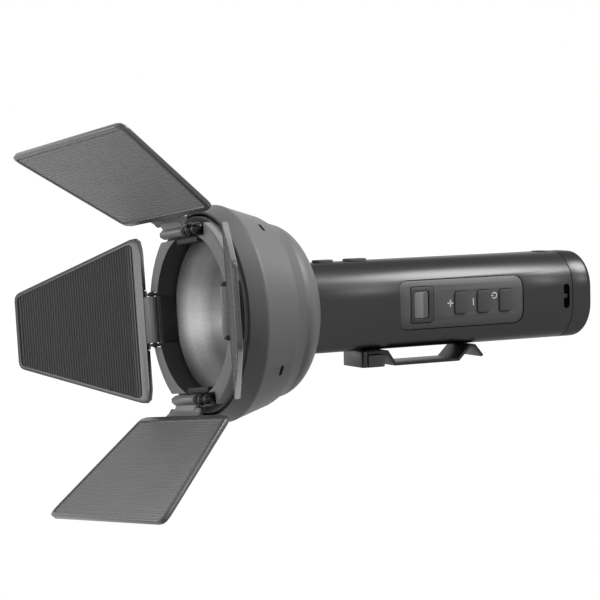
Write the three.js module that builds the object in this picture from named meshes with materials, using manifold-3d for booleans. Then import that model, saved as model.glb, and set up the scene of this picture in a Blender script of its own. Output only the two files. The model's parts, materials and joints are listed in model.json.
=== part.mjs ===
// Handheld LED light: a bell-shaped head with a reflector and a turning ring of four ribbed barn doors,
// on a square handle with a control panel, two top buttons and a sprung belt clip.
// Millimetres, +Z up. The light shines toward -Y; the origin is the centre of the tail's flat end face.
// Stations are distances behind the door ring's front face, measured toward the tail.
import * as THREE from 'three';
import Module from 'manifold-3d';
import { mergeVertices } from 'three/addons/utils/BufferGeometryUtils.js';

const wasm = await Module();
wasm.setup();

// Clearances, and how far a cutting body passes the face that it opens
const gap = 0.3;
const mouthGap = 1;
const cut = 1;

// Facets
const roundSegments = 56;
const smallSegments = 16;
const arcStep = 2.2;
const arcStepsMin = 3;
const domeSteps = 5;
const bowlSteps = 6;
const ballSteps = 4;

// Handle
const bodyLength = 189;
const handleSide = 38;
const handleCorner = 15.5;
const handleWall = 2.6;
const tailCapLength = 12;
const tailRounding = 8;
const tailRoundingSteps = 5;
const tailLipLength = 6;
const tailLipWall = 2;
const handleHalf = handleSide / 2;
const boreHalf = handleHalf - handleWall;
const boreCorner = handleCorner - handleWall;
const seamStation = bodyLength - tailCapLength;

// Door ring
const ringRadius = 40.4;
const ringWidth = 7;
const ringDepth = 12.6;
const ringChamfer = 0.5;
const ringTurn = -6.3;
const ringGrooveStart = 6.6;
const ringGrooveWall = 1.8;
const ringBore = ringRadius - ringWidth;

// Bell housing
const bellFaceStation = 4.8;
const bellLip = 1.1;
const bellRimStation = 12.4;
const bellRimSpread = 4.5;
const bellRimRounding = 0.8;
const bellBandStation = 28.2;
const bellBandInset = 0.6;
const bellShoulderStation = 34.5;
const bellShoulderInset = 4;
const domeDepth = 16.3;
const bellWall = 2;
const bellMouth = ringRadius + mouthGap;
const bellFaceRadius = bellMouth + bellLip;
const bellRimRadius = ringRadius + bellRimSpread;
const bellBandRadius = ringRadius - bellBandInset;
const bellShoulderRadius = ringRadius - bellShoulderInset;
const slotCount = 4;
const slotLength = 5;
const slotWidth = 1.6;
const slotStation = 22;
const slotTurn = 31;

// The handle begins behind the bell's shoulder, further back the more room the bell leaves round its corners;
// the collar lines the dome there and holds those corners
const handleReach = Math.SQRT2 * (handleHalf - handleCorner) + handleCorner;
const setbackShare = 0.345;
const handleSetback = setbackShare * (bellShoulderRadius - handleReach);
const handleFront = bellShoulderStation + handleSetback;
const collarLength = 2.5;
const collarWidth = 7;
const collarFront = handleFront + gap;

// Light source, its board and the heat sink
const chipRadius = 8.5;
const chipThickness = 0.8;
const chipBoardRadius = 14.5;
const chipBoardThickness = 1.2;
const sinkBase = 3;
const sinkLength = 24;
const finThickness = 1.4;
const finCount = 7;
const sinkHeadroom = 2.6;
const boardStation = handleFront;
const chipStation = boardStation - gap - chipThickness;
const sinkFront = boardStation + chipBoardThickness + gap;

// Seat ring and reflector
const seatDepth = 3;
const seatSetback = 0.7;
const seatBore = ringBore + seatSetback;
const seatStation = ringDepth + gap;
const seatBack = seatStation + seatDepth;
const bowlFront = 8;
const bowlInset = 1.8;
const bowlMouth = ringBore - bowlInset;
const bowlBack = chipStation - gap;
const bowlFoot = 11;
const bowlWall = 1.1;
const flangeInset = 2.3;
const flangeRadius = ringRadius - flangeInset;
const flangeThickness = 1.2;

// Hinges: the knobbed ones hold the top and bottom doors, their barrels off centre to leave the knobs room
const hingeInset = 5.8;
const hingeStation = -1.2;
const hingeRadius = ringRadius - hingeInset;
const barrelRadius = 2.2;
const barrelBore = 1.3;
const barrelLength = 19.5;
const barrelShift = 7.5;
const pinRadius = 1;
const pinProud = 0.4;
const earThickness = 1.3;
const earRadius = 1.9;
const knobRadius = 2.9;
const knobTipRadius = 2.7;
const knobWaistRadius = 1.9;
const knobNeckLength = 1.5;
const knobSpacing = 5.3;
const notchDepth = 3.7;
const floorThickness = 0.8;
const footHalf = 9.4;
const footThickness = 2;
const footFront = 0.3;
const footBack = 7.5;

// Door brackets
const leafThickness = 1;
const rampStart = 1.8;
const rampEnd = 4.4;
const leafStart = 3;
const leafHalf = 14.7;
const leafEndHalf = 15.8;
const leafCorner = 1;
const strapInset = 0.4;
const strapHeight = 0.35;
const strapEnd = 4.2;
const tabHalf = 12.5;
const rivetRadius = 1.5;
const rivetHeight = 0.3;
const rivetOffset = 8;

// Door panels: rise is how far a panel's middle lies outside its hinge axis
const panelThickness = 2.4;
const panelCorner = 4;
const fieldCorner = 2.4;
const panelRim = 1.7;
const ribDrop = 0.25;
const ribDepth = 0.8;
const ribTopShare = 0.3;
const ribSlopeShare = 0.15;
const backRecess = 0.3;
const wideDoor = {
  offset: 8.6, rise: 1.5, length: 54.7, hingeHalf: 40.6, tipHalf: 56.4, hingeRim: 2, ribs: 38,
  pocket: 0.5, tabLength: 7, knobbed: true,
};
const longDoor = {
  offset: 4.6, rise: 1.4, length: 69.7, hingeHalf: 36.3, tipHalf: 16.2, hingeRim: 4, ribs: 48,
  pocket: 1.1, tabLength: 6, knobbed: false,
};
const doors = [
  { name: 'top', turn: 0, open: 36, kind: wideDoor, flip: 1 },
  { name: 'right', turn: 90, open: 65, kind: longDoor, flip: 1 },
  { name: 'bottom', turn: 180, open: 44, kind: wideDoor, flip: -1 },
  { name: 'left', turn: 270, open: 60.5, kind: longDoor, flip: 1 },
];

// Control panel on the +X side
const panelFrontShare = 0.469;
const panelLength = 62;
const panelFront = bodyLength * panelFrontShare;
const panelBack = panelFront + panelLength;
const panelHalfHeight = 10.3;
const plateCorner = 3.5;
const plateThickness = 1.2;
const plateSink = 0.3;
const plateLedge = 1.2;
const plateDepth = plateSink + plateThickness;
const bezelStep = 10.9;
const bezelCentre = panelFront + bezelStep;
const bezelHalf = 5.5;
const bezelHalfHeight = 7.6;
const bezelCorner = 1.2;
const bezelProud = 0.25;
const windowShift = 0.45;
const windowStation = bezelCentre - windowShift;
const windowHalf = 3.4;
const windowHalfHeight = 5.6;
const windowSink = 0.35;
const windowThickness = 1;
const frameFlange = 1.1;
const buttonSteps = { plus: 30.1, minus: 41.5, mode: 52.8 };
const buttonHalf = 2.95;
const buttonHalfHeight = 4.7;
const buttonCorner = 1;
const buttonProud = 0.5;
const buttonFlange = 0.7;
const flangeDepth = 0.8;

// Top buttons and port cover
const topButtons = { front: { station: 61.9, half: 4.7 }, rear: { station: 77.5, half: 5.4 } };
const topButtonHalfWidth = 2.9;
const topButtonProud = 1;
const portSeamSpace = 4.4;
const portStation = seamStation - portSeamSpace;
const portHalf = 3;
const portHalfWidth = 3.4;
const portCorner = 1.4;
const portProud = 0.3;
const portPocket = 1.4;

// Lanyard slot near the tail
const lanyardSeamSpace = 3.4;
const lanyardStation = seamStation - lanyardSeamSpace;
const lanyardHalf = 1.6;
const lanyardHalfHeight = 5.4;
const lanyardBarHalf = 0.9;
const lanyardBarSink = 1.4;

// Cell and main board in the handle
const cellRadius = 10.85;
const cellLead = 4.6;
const cellSeamSpace = 23;
const cellFront = panelFront - cellLead;
const cellBack = seamStation - cellSeamSpace;
const boardLead = 6.6;
const boardSeamSpace = 13;
const boardFront = panelFront - boardLead;
const boardBack = seamStation - boardSeamSpace;
const boardThickness = 1.6;
const boardOuter = 14;

// Belt clip
const blockFront = 75.8;
const blockBack = 87;
const blockHalf = 9;
const blockHeight = 6.8;
const blockCorner = 1.6;
const blockGroove = 0.8;
const blockGrooveInset = 2.6;
const stripHalf = 8.4;
const stripThickness = 1.2;
const stripRoot = 78.6;
const stripLow = 25.5;
const stripLowStart = 92;
const stripLowEnd = 123.9;
const stripTouchStart = 129.8;
const stripTouchEnd = 132.3;
const stripTip = 136.2;
const stripTipDrop = 24.6;
const stripSlotRoom = 0.5;
const screwRadius = 1.4;
const screwHeadRadius = 2.6;
const screwHeadDepth = 1.6;
const screwStation = 82.2;
const screwReach = 1.6;
const socketRadius = 1.2;
const socketDepth = 0.9;
const socketSides = 6;

const half = value => value / 2;
const radians = degrees => THREE.MathUtils.degToRad(degrees);
const at = station => station - bodyLength;
const quarter = Math.PI / 2;

function solid(geometry) {
  const plain = geometry.clone();
  plain.deleteAttribute('normal');
  plain.deleteAttribute('uv');
  const merged = mergeVertices(plain);
  const vertProperties = new Float32Array(merged.attributes.position.array);
  const triVerts = new Uint32Array(merged.index.array);
  const build = () => new wasm.Manifold(new wasm.Mesh({ numProp: 3, vertProperties, triVerts }));
  const body = build();
  if (body.volume() > 0) return body;
  triVerts.reverse();
  return build();
}

function geometryOf(body) {
  const mesh = body.getMesh();
  const geometry = new THREE.BufferGeometry();
  geometry.setAttribute('position', new THREE.BufferAttribute(new Float32Array(mesh.vertProperties), 3));
  geometry.setIndex(new THREE.BufferAttribute(new Uint32Array(mesh.triVerts), 1));
  geometry.computeVertexNormals();
  return geometry;
}

const union = bodies => bodies.reduce((sum, body) => sum.add(body));
const subtract = (body, cutters) => cutters.reduce((rest, cutter) => rest.subtract(cutter), body);

function moved(body, matrix) {
  return body.transform(matrix.elements);
}

// Outlines; an arc has the steps of one whose radius is like
function arc(x, y, radius, from, to, like = radius) {
  const steps = Math.max(arcStepsMin, Math.round(like * (to - from) / arcStep));
  return Array.from({ length: steps + 1 }, (_, index) => {
    const angle = from + (to - from) * index / steps;
    return [x + radius * Math.cos(angle), y + radius * Math.sin(angle)];
  });
}

function roundedRect(x0, y0, x1, y1, radius, like = radius) {
  return polygon([
    ...arc(x1 - radius, y0 + radius, radius, -quarter, 0, like),
    ...arc(x1 - radius, y1 - radius, radius, 0, quarter, like),
    ...arc(x0 + radius, y1 - radius, radius, quarter, Math.PI, like),
    ...arc(x0 + radius, y0 + radius, radius, Math.PI, Math.PI + quarter, like),
  ]);
}

const square = (reach, radius, like = radius) => roundedRect(-reach, -reach, reach, reach, radius, like);
const rect = (x0, y0, x1, y1) => polygon([[x0, y0], [x1, y0], [x1, y1], [x0, y1]]);

function polygon(points) {
  return new THREE.Shape(points.map(([x, y]) => new THREE.Vector2(x, y)));
}

// A convex outline with every corner rounded by the same radius
function roundedPolygon(points, radius) {
  const shape = new THREE.Shape();
  const corners = points.map(([x, y]) => new THREE.Vector2(x, y));
  corners.forEach((corner, index) => {
    const before = corners[(index + corners.length - 1) % corners.length];
    const after = corners[(index + 1) % corners.length];
    const back = before.clone().sub(corner).normalize();
    const ahead = after.clone().sub(corner).normalize();
    const halfAngle = half(Math.acos(back.dot(ahead)));
    const reach = radius / Math.tan(halfAngle);
    const start = corner.clone().addScaledVector(back, reach);
    const end = corner.clone().addScaledVector(ahead, reach);
    if (index === 0) shape.moveTo(start.x, start.y);
    else shape.lineTo(start.x, start.y);
    shape.quadraticCurveTo(corner.x, corner.y, end.x, end.y);
  });
  shape.closePath();
  return shape;
}

// A bent strip of even thickness along a centre line
function ribbon(points, thickness) {
  const line = points.map(([x, y]) => new THREE.Vector2(x, y));
  const side = line.map((point, index) => {
    const into = line[Math.max(index - 1, 0)];
    const out = line[Math.min(index + 1, line.length - 1)];
    const first = point.clone().sub(into);
    const second = out.clone().sub(point);
    const one = first.length() > 0 ? first.normalize() : second.clone().normalize();
    const two = second.length() > 0 ? second.normalize() : one.clone();
    const normal = new THREE.Vector2(-one.y - two.y, one.x + two.x).normalize();
    const mitre = normal.dot(new THREE.Vector2(-one.y, one.x));
    return normal.multiplyScalar(half(thickness) / mitre);
  });
  const upper = line.map((point, index) => point.clone().add(side[index]));
  const lower = line.map((point, index) => point.clone().sub(side[index]));
  return new THREE.Shape([...lower, ...upper.reverse()]);
}

// Prisms: an outline in (x, z) along Y between stations, in (y, z) along X, and in (x, y) along Z
function extruded(shape, depth) {
  return new THREE.ExtrudeGeometry(shape, { depth, bevelEnabled: false, curveSegments: arcStepsMin });
}

function alongY(shape, from, to) {
  return solid(extruded(shape, to - from).rotateX(quarter).translate(0, at(to), 0));
}

function alongX(shape, from, to) {
  const turn = new THREE.Matrix4().makeBasis(
    new THREE.Vector3(0, 1, 0), new THREE.Vector3(0, 0, 1), new THREE.Vector3(1, 0, 0));
  return solid(extruded(shape, to - from).applyMatrix4(turn).translate(from, 0, 0));
}

function alongZ(shape, from, to) {
  return solid(extruded(shape, to - from).translate(0, 0, from));
}

// A body turned round the light's axis; profile points are [radius, station]
function turned(profile, segments = roundSegments) {
  const points = profile.map(([radius, station]) => new THREE.Vector2(radius, at(station)));
  points.push(points[0].clone());
  return solid(new THREE.LatheGeometry(points, segments));
}

function rodAlongX(radius, from, to, segments = smallSegments) {
  const rod = new THREE.CylinderGeometry(radius, radius, to - from, segments);
  return solid(rod.rotateZ(quarter).translate(half(from + to), 0, 0));
}

function rodAlongZ(radius, from, to, segments = smallSegments) {
  const rod = new THREE.CylinderGeometry(radius, radius, to - from, segments);
  return solid(rod.rotateX(quarter).translate(0, 0, half(from + to)));
}

const shift = (x, y, z) => new THREE.Matrix4().makeTranslation(x, y, z);
const aboutAxis = degrees => new THREE.Matrix4().makeRotationY(radians(degrees));

const paint = (color, roughness, metalness) => ({ color, roughness, metalness });
const looks = {
  bell: paint('#4b4c4e', 0.6, 0.2),
  ring: paint('#77787a', 0.5, 0.4),
  door: paint('#5a5b5d', 0.5, 0.4),
  bracket: paint('#8c8d90', 0.35, 0.9),
  dark: paint('#1c1c1e', 0.4, 0.3),
  seat: paint('#2a2a2c', 0.6, 0.2),
  reflector: paint('#c9cacc', 0.2, 1),
  handle: paint('#3a3b3d', 0.4, 0.7),
  plate: paint('#4d4e50', 0.5, 0.2),
  button: paint('#5b5c5e', 0.5, 0.1),
  glass: paint('#9a9ea2', 0.15, 0),
  sink: paint('#a8abae', 0.4, 0.9),
  board: paint('#1f5a3a', 0.6, 0.1),
  chip: paint('#e6c44a', 0.5, 0),
  cell: paint('#3d6fa8', 0.5, 0.1),
  steel: paint('#9c9ea1', 0.3, 0.9),
};

const group = new THREE.Group();
group.name = 'led_video_flash_light';

function add(name, body, look) {
  const mesh = new THREE.Mesh(geometryOf(body), new THREE.MeshStandardMaterial(look));
  mesh.name = name;
  group.add(mesh);
}

// Handle section at a given allowance outside (+) or inside (-) its skin, and the same for its bore
const handleSection = allowance => square(handleHalf + allowance, handleCorner + allowance, handleCorner);
const boreSection = allowance => handleSection(allowance - handleWall);

// Head

// A quarter ellipse from the shoulder to where it narrows to the given radius
function domeLine(inset, endRadius) {
  const wide = bellShoulderRadius - inset;
  const deep = domeDepth - inset;
  const endAngle = Math.acos(endRadius / wide);
  return Array.from({ length: domeSteps + 1 }, (_, index) => {
    const angle = endAngle * index / domeSteps;
    return [wide * Math.cos(angle), bellShoulderStation + deep * Math.sin(angle)];
  });
}

function bellHousing() {
  const neck = handleHalf - cut;
  const shell = turned([
    [bellMouth, bellFaceStation],
    [bellFaceRadius, bellFaceStation],
    [bellRimRadius, bellRimStation - bellRimRounding],
    [bellRimRadius, bellRimStation],
    [bellBandRadius, bellBandStation],
    ...domeLine(0, neck),
    ...domeLine(bellWall, neck).reverse(),
    [bellBandRadius - bellWall, bellBandStation],
    [bellMouth, seatBack + gap],
  ]);
  const handleHole = alongY(handleSection(gap), bellShoulderStation, bodyLength);
  const slot = alongZ(
    roundedRect(-half(slotLength), at(slotStation) - half(slotWidth),
      half(slotLength), at(slotStation) + half(slotWidth), half(slotWidth)),
    bellBandRadius - bellWall, bellRimRadius + cut);
  const slots = Array.from({ length: slotCount }, (_, index) =>
    moved(slot, aboutAxis(slotTurn + 90 * index)));
  return subtract(shell, [handleHole, ...slots]);
}

// The bowl is a paraboloid through its mouth and its foot
const bowlSpread = (bowlMouth ** 2 - bowlFoot ** 2) / (bowlBack - bowlFront);
const bowlVertex = bowlFront + bowlMouth ** 2 / bowlSpread;
const bowlRadius = station => Math.sqrt(bowlSpread * (bowlVertex - station));

function reflector() {
  const stations = Array.from({ length: bowlSteps + 1 }, (_, index) =>
    bowlFront + (bowlBack - bowlFront) * index / bowlSteps);
  const inner = stations.map(station => [bowlRadius(station), station]);
  const flangeFront = seatBack + gap;
  const flangeBack = flangeFront + flangeThickness;
  const outer = station => [bowlRadius(station) + bowlWall, station];
  const behind = stations.filter(station => station > flangeBack + flangeThickness).map(outer);
  const ahead = stations.filter(station => station < flangeFront - flangeThickness).map(outer);
  return turned([
    ...inner,
    ...behind.reverse(),
    outer(flangeBack),
    [flangeRadius, flangeBack],
    [flangeRadius, flangeFront],
    outer(flangeFront),
    ...ahead.reverse(),
  ]);
}

function heatSink() {
  const front = at(sinkFront);
  const back = front + sinkLength;
  const pitch = (2 * boreHalf - finThickness) / (finCount - 1);
  const fins = Array.from({ length: finCount }, (_, index) => {
    const left = -boreHalf + pitch * index;
    return alongZ(rect(left, front, left + finThickness, back), -boreHalf, boreHalf - sinkHeadroom);
  });
  const base = alongZ(rect(-boreHalf, front, boreHalf, front + sinkBase), -boreHalf, boreHalf);
  return union([base, ...fins]).intersect(alongY(boreSection(-gap), sinkFront, sinkFront + sinkLength));
}

const disc = (radius, from, to) => turned([[0, from], [radius, from], [radius, to], [0, to]], smallSegments);

function rearCollar() {
  const wide = bellShoulderRadius - bellWall - gap;
  const deep = domeDepth - bellWall - gap;
  const radiusAt = station => wide * Math.sqrt(1 - ((station - bellShoulderStation) / deep) ** 2);
  const skin = [collarFront, collarFront + collarLength].map(station => [radiusAt(station), station]);
  const body = turned([...skin, ...skin.map(([radius, station]) => [radius - collarWidth, station]).reverse()]);
  return body.subtract(alongY(handleSection(gap), bellShoulderStation, bodyLength));
}

add('bell_housing', bellHousing(), looks.bell);
add('seat_ring', turned([
  [seatBore, seatStation],
  [bellMouth - gap, seatStation],
  [bellMouth - gap, seatBack],
  [seatBore, seatBack],
]), looks.seat);
add('reflector', reflector(), looks.reflector);
add('led_chip', disc(chipRadius, chipStation, chipStation + chipThickness), looks.chip);
add('led_board', disc(chipBoardRadius, boardStation, boardStation + chipBoardThickness), looks.board);
add('heat_sink', heatSink(), looks.sink);
add('rear_collar', rearCollar(), looks.dark);

// The knobbed hinges are made for the top and mirrored for the bottom, so that both knobs point to +X
const hingeTurn = door => aboutAxis(door.turn + ringTurn).multiply(new THREE.Matrix4().makeScale(door.flip, 1, 1));
const hingePlace = door => hingeTurn(door).multiply(shift(0, at(hingeStation), hingeRadius));
const barrelCentre = kind => (kind.knobbed ? -barrelShift : 0);
const earInner = half(barrelLength) + gap;
const earOuter = earInner + earThickness;
const knobCentre = earOuter + knobNeckLength + knobRadius;
const knobTipCentre = knobCentre + knobSpacing;

// Where a hinge's floor begins and ends along its axis; the floor of a knobbed hinge runs out at the ring's edge
const floorFrom = kind => (kind.knobbed ? -ringRadius : -earOuter);
const floorTo = kind => (kind.knobbed ? barrelCentre(kind) + knobTipCentre + knobTipRadius : earOuter);

// Door ring: four notches let the hinges sit low in its face and leave the doors room to fold back
function doorRing() {
  const grooveInner = ringBore + ringGrooveWall;
  const grooveOuter = ringRadius - ringGrooveWall;
  const body = turned([
    [ringBore, 0],
    [ringRadius - ringChamfer, 0],
    [ringRadius, ringChamfer],
    [ringRadius, ringDepth],
    [grooveOuter, ringDepth],
    [grooveOuter, ringGrooveStart],
    [grooveInner, ringGrooveStart],
    [grooveInner, ringDepth],
    [ringBore, ringDepth],
  ]);
  const notches = doors.map(door => moved(
    alongZ(rect(floorFrom(door.kind) - gap, at(-cut), floorTo(door.kind) + gap, at(notchDepth)),
      hingeRadius - barrelRadius - 2 * gap, ringRadius + cut),
    hingeTurn(door)));
  return subtract(body, notches);
}
add('door_ring', doorRing(), looks.ring);

// Hinge pieces are made round their own axis (along X) with the light's axis at -Z, then put in place
const floorBack = notchDepth - hingeStation - gap;
const floorFace = floorBack - floorThickness;
const floorLow = -barrelRadius - gap;
const footOuter = Math.sqrt(ringBore ** 2 - footHalf ** 2) - gap - hingeRadius;
const footInner = footOuter - footThickness;

function hingeBase(kind) {
  const centre = barrelCentre(kind);
  const floor = alongX(rect(floorFace, floorLow, floorBack, ringRadius), floorFrom(kind), floorTo(kind));
  const bridge = alongX(rect(floorFace, footInner, floorBack, floorLow + gap), -footHalf, footHalf);
  const foot = alongX(rect(footFront - hingeStation, footInner, footBack - hingeStation, footOuter),
    -footHalf, footHalf);
  const earShape = polygon([
    ...arc(0, 0, earRadius, quarter, 3 * quarter),
    [floorBack, -earRadius],
    [floorBack, earRadius],
  ]);
  const ears = [-earOuter, earInner].map(start =>
    alongX(earShape, centre + start, centre + start + earThickness));
  const hole = rodAlongX(pinRadius + gap, centre - earOuter - cut, centre + earOuter + cut);
  return union([floor, bridge, foot, ...ears]).subtract(hole);
}

// The floors are trimmed to the door ring's round edge
const ringLimit = turned([
  [0, -bellFaceStation], [ringRadius - gap, -bellFaceStation], [ringRadius - gap, ringDepth], [0, ringDepth]]);

function hingePin(kind) {
  const end = earOuter + pinProud;
  const ball = (centre, radius, from, to) => Array.from({ length: ballSteps + 1 }, (_, index) => {
    const angle = from + (to - from) * index / ballSteps;
    return [radius * Math.sin(angle), centre - radius * Math.cos(angle)];
  });
  const knob = [
    ...ball(knobCentre, knobRadius, Math.asin(pinRadius / knobRadius),
      Math.PI - Math.asin(knobWaistRadius / knobRadius)),
    ...ball(knobTipCentre, knobTipRadius, Math.asin(knobWaistRadius / knobTipRadius), Math.PI),
  ];
  const far = kind.knobbed ? knob : [[pinRadius, end], [0, end]];
  const profile = [[0, -end], [pinRadius, -end], ...far].map(([radius, along]) => new THREE.Vector2(radius, along));
  const pin = new THREE.LatheGeometry(profile, smallSegments).rotateZ(-quarter);
  return solid(pin.translate(barrelCentre(kind), 0, 0));
}

// Doors are made pointing straight ahead (-Y) with the beam below them (-Z), then swung open
const doorPlace = door => hingePlace(door).multiply(new THREE.Matrix4().makeRotationX(-radians(door.open)));

function trapezoid(kind, inset, hingeInset) {
  const near = kind.offset + hingeInset;
  const far = kind.offset + kind.length - inset;
  const lean = (kind.tipHalf - kind.hingeHalf) / kind.length;
  const slant = inset * Math.sqrt(1 + lean ** 2);
  const halfAt = distance => kind.hingeHalf + lean * (distance - kind.offset) - slant;
  return [[-halfAt(near), -near], [-halfAt(far), -far], [halfAt(far), -far], [halfAt(near), -near]];
}

// Heights above the hinge axis: a panel's beam face and outer face, and the middle of the bracket's tab on it
const beamFace = kind => kind.rise - half(panelThickness);
const outerFace = kind => kind.rise + half(panelThickness);
const tabLevel = kind => outerFace(kind) - kind.pocket + gap + half(leafThickness);

// The ribbed field is cut as one comb whose lower edge follows the ribs
function ribComb(kind) {
  const near = -(kind.offset + kind.hingeRim);
  const far = -(kind.offset + kind.length - panelRim);
  const pitch = (near - far) / kind.ribs;
  const face = beamFace(kind);
  const edge = [];
  for (let index = 0; index < kind.ribs; index += 1) {
    const start = far + pitch * index;
    const top = start + pitch * ribTopShare;
    const bottom = top + pitch * ribSlopeShare;
    const rise = start + pitch * (1 - ribSlopeShare);
    edge.push([start, face + ribDrop], [top, face + ribDrop], [bottom, face + ribDepth], [rise, face + ribDepth]);
  }
  edge.push([near, face + ribDrop]);
  const reach = Math.max(kind.hingeHalf, kind.tipHalf);
  return alongX(polygon([[far, face - cut], ...edge, [near, face - cut]].reverse()), -reach, reach);
}

function doorPanel(kind) {
  const plate = alongZ(roundedPolygon(trapezoid(kind, 0, 0), panelCorner), beamFace(kind), outerFace(kind));
  const field = alongZ(roundedPolygon(trapezoid(kind, panelRim, kind.hingeRim), fieldCorner),
    beamFace(kind) - cut, kind.rise);
  const pocketEnd = kind.offset + kind.tabLength + gap;
  const pocketHalf = tabHalf + gap;
  const pocket = alongZ(rect(barrelCentre(kind) - pocketHalf, -pocketEnd, barrelCentre(kind) + pocketHalf, 0),
    outerFace(kind) - kind.pocket, outerFace(kind) + cut);
  const recess = alongZ(
    roundedPolygon(trapezoid(kind, panelRim, kind.tabLength + gap + panelRim), fieldCorner),
    outerFace(kind) - backRecess, outerFace(kind) + cut);
  return subtract(plate, [field.intersect(ribComb(kind)), pocket, recess]);
}

// A bent sheet from the barrel to a tab behind the panel: the wide door's spreads out and carries a raised
// strap, the long door's is a block as thick as the panel
function doorBracket(kind) {
  const end = kind.offset + kind.tabLength;
  const tangent = barrelRadius - half(leafThickness);
  const neck = half(barrelLength);
  const leafEnd = kind.offset - gap;
  const level = tabLevel(kind);
  const bend = lift => [[-rampEnd, level + lift], [-rampStart, tangent + lift], [0, tangent + lift]];
  const sheet = ribbon([[-end, level], ...bend(0)], leafThickness);
  const tab = [[-tabHalf, -leafEnd], [-tabHalf, -end], [tabHalf, -end], [tabHalf, -leafEnd]];
  const spread = [[leafEndHalf, -leafEnd], [leafHalf, -leafStart - leafCorner], [leafHalf - leafCorner, -leafStart]];
  const right = kind.knobbed ? spread : [[neck, -leafEnd]];
  const left = right.map(([x, y]) => [-x, y]).reverse();
  const plan = alongZ(polygon([[-neck, cut], [-neck, -leafStart], ...left, ...tab, ...right,
    [neck, -leafStart], [neck, cut]]), -end, end);
  const strap = alongX(ribbon(bend(-strapHeight), leafThickness), -neck + strapInset, neck - strapInset);
  const strapLimit = alongZ(rect(-neck, -strapEnd, neck, cut), -end, end);
  const block = alongX(rect(-leafEnd, beamFace(kind), 0, level), -neck, neck);
  const rivets = [-rivetOffset, rivetOffset].map(across =>
    moved(rodAlongZ(rivetRadius, level, level + half(leafThickness) + rivetHeight),
      shift(across, -(kind.offset + half(kind.tabLength)), 0)));
  const root = kind.knobbed ? strap.intersect(strapLimit) : block;
  const body = union([alongX(sheet, -leafEndHalf, leafEndHalf).intersect(plan),
    rodAlongX(barrelRadius, -neck, neck), root, ...rivets]);
  return moved(body.subtract(rodAlongX(barrelBore, -neck - cut, neck + cut)), shift(barrelCentre(kind), 0, 0));
}

for (const door of doors) {
  add(`hinge_base_${door.name}`, moved(hingeBase(door.kind), hingePlace(door)).intersect(ringLimit), looks.dark);
  add(`hinge_pin_${door.name}`, moved(hingePin(door.kind), hingePlace(door)), looks.dark);
  add(`door_bracket_${door.name}`, moved(doorBracket(door.kind), doorPlace(door)), looks.bracket);
  add(`door_panel_${door.name}`, moved(doorPanel(door.kind), doorPlace(door)), looks.door);
}

// Handle: boxes on its +X side are outlines in (y, z), on its top outlines in (x, y)
const sideRect = (station, along, up, radius) =>
  roundedRect(at(station) - along, -up, at(station) + along, up, radius);
const plateStation = half(panelFront + panelBack);
const plateHalf = half(panelBack - panelFront);
const plateFace = handleHalf - plateSink;
const topRect = (station, along, across, radius) =>
  roundedRect(-across, at(station) - along, across, at(station) + along, radius);
const clipTop = -handleHalf - gap;

// A shell along the handle's skin between two allowances, within an outline on its +X side
function sideShell(outline, outer, inner) {
  const [skin, core] = [outer, inner].map(allowance => alongY(handleSection(allowance), handleFront, seamStation));
  return alongX(outline, 0, handleHalf + cut).intersect(skin).subtract(core);
}

function handleTube() {
  const body = alongY(handleSection(0), handleFront, seamStation - gap);
  const bore = alongY(boreSection(0), handleFront - cut, seamStation + cut);
  const platePocket = sideShell(
    sideRect(plateStation, plateHalf + gap, panelHalfHeight + gap, plateCorner + gap), cut, -plateDepth - gap);
  const plateWindow = alongX(
    sideRect(plateStation, plateHalf - plateLedge, panelHalfHeight - plateLedge, plateCorner), 0, handleHalf + cut);
  const buttonHoles = Object.values(topButtons).map(button =>
    alongZ(topRect(button.station, button.half + gap, topButtonHalfWidth + gap, topButtonHalfWidth),
      boreHalf - cut, handleHalf + cut));
  const portHole = alongZ(topRect(portStation, portHalf + gap, portHalfWidth + gap, portCorner + gap),
    handleHalf - portPocket - gap, handleHalf + cut);
  const lanyard = alongX(sideRect(lanyardStation, lanyardHalf, lanyardHalfHeight, lanyardHalf),
    boreHalf - cut, handleHalf + cut);
  const lanyardBar = alongX(sideRect(lanyardStation, lanyardHalf + cut, lanyardBarHalf, lanyardBarHalf),
    boreHalf - cut, handleHalf - lanyardBarSink);
  const screwHole = moved(rodAlongZ(screwRadius + gap, -handleHalf - cut, -boreHalf + cut), shift(0, at(screwStation), 0));
  return subtract(body, [bore, platePocket, plateWindow, ...buttonHoles, portHole,
    lanyard.subtract(lanyardBar), screwHole]);
}

function tailCap() {
  const blunt = new THREE.ExtrudeGeometry(handleSection(-tailRounding), {
    depth: 2 * (tailCapLength - tailRounding),
    bevelThickness: tailRounding,
    bevelSize: tailRounding,
    bevelSegments: tailRoundingSteps,
  });
  const whole = solid(blunt.rotateX(quarter).translate(0, -tailRounding, 0));
  const box = alongY(square(handleHalf + cut, cut), seamStation - tailCapLength - cut, seamStation);
  const lip = alongY(boreSection(-gap), seamStation - gap - tailLipLength, seamStation + cut);
  const hollow = alongY(boreSection(-gap - tailLipWall), seamStation - gap - tailLipLength - cut, seamStation + cut);
  return union([whole.subtract(box), lip]).subtract(hollow);
}

function controlPlate() {
  const plate = sideShell(
    sideRect(plateStation, plateHalf, panelHalfHeight, plateCorner), -plateSink, -plateDepth);
  const hole = (station, along, up, radius) =>
    alongX(sideRect(station, along + gap, up + gap, radius + gap), 0, handleHalf + cut);
  const holes = Object.values(buttonSteps).map(step =>
    hole(panelFront + step, buttonHalf, buttonHalfHeight, buttonCorner));
  return subtract(plate, [...holes, hole(bezelCentre, bezelHalf, bezelHalfHeight, bezelCorner)]);
}

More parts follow.
